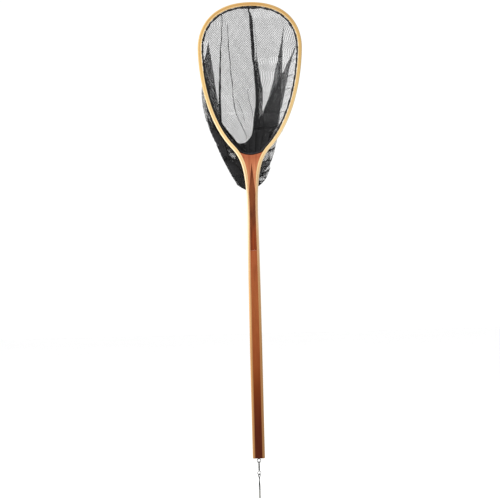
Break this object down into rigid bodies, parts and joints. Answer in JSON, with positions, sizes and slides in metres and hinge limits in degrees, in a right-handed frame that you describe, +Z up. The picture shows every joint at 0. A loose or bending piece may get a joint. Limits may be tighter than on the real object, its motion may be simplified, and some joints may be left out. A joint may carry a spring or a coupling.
{
  "type": "landing net",
  "caption": "Long-handled wooden landing net: bent laminated teardrop hoop, laminated handle, laced fine-mesh bag and a butt clip with a short lanyard.",
  "frame": {"origin": "middle of the hand grip on the handle's axis, 120 mm above the butt", "axes": "+Z up along the handle to the hoop's top, +X across the hoop to the right seen from the front, +Y to the side on which the bag hangs"},
  "size_m": [0.25, 0.0848, 1.1905],
  "materials": {
    "ash": "gloss varnished",
    "cherry": "gloss varnished",
    "walnut": "gloss varnished",
    "padauk": "gloss varnished",
    "netting": "fine knotless nylon mesh",
    "lacing": "braided nylon",
    "nickel": "polished",
    "gunmetal": "dark plated",
    "grey_cord": "braided",
    "grey_sleeve": "satin"
  },
  "bodies": {
    "frame": {"outer_lamination": "ash", "middle_lamination": "ash", "inner_lamination": "ash", "throat_block": "cherry", "upper_core": "walnut", "lower_core": "padauk", "lacing_cord": "lacing", "lacing_knot_right": "lacing", "lacing_knot_left": "lacing", "hem_band": "netting", "net_bag": "netting", "screw_eye": "nickel"},
    "clasp": {"clasp_hook": "gunmetal", "gate_pin": "nickel", "gate_spring": "nickel"},
    "gate": {"clasp_gate": "gunmetal"},
    "swivel": {"swivel_eye": "nickel"},
    "lanyard": {"lanyard_cord": "grey_cord", "cord_sleeve": "grey_sleeve"}
  },
  "joints": [
    {"name": "clasp_swing", "type": "hinge", "parent": "frame", "child": "clasp", "pos_m": [0, 0, -0.1259], "axis": [0, 1, 0], "range_deg": [-75, 75]},
    {"name": "gate_hinge", "type": "hinge", "parent": "clasp", "child": "gate", "pos_m": [0, 0.004, -0.1414], "axis": [1, 0, 0], "range_deg": [0, 26], "stiffness_Nm_per_rad": 0.01, "springref_deg": -28.65},
    {"name": "swivel_spin", "type": "hinge", "parent": "clasp", "child": "swivel", "pos_m": [0, 0, -0.1464], "axis": [0, 0, 1], "continuous": true},
    {"name": "lanyard_swing", "type": "hinge", "parent": "swivel", "child": "lanyard", "pos_m": [0, 0, -0.15935], "axis": [1, 0, 0], "range_deg": [-70, 70]}
  ]
}
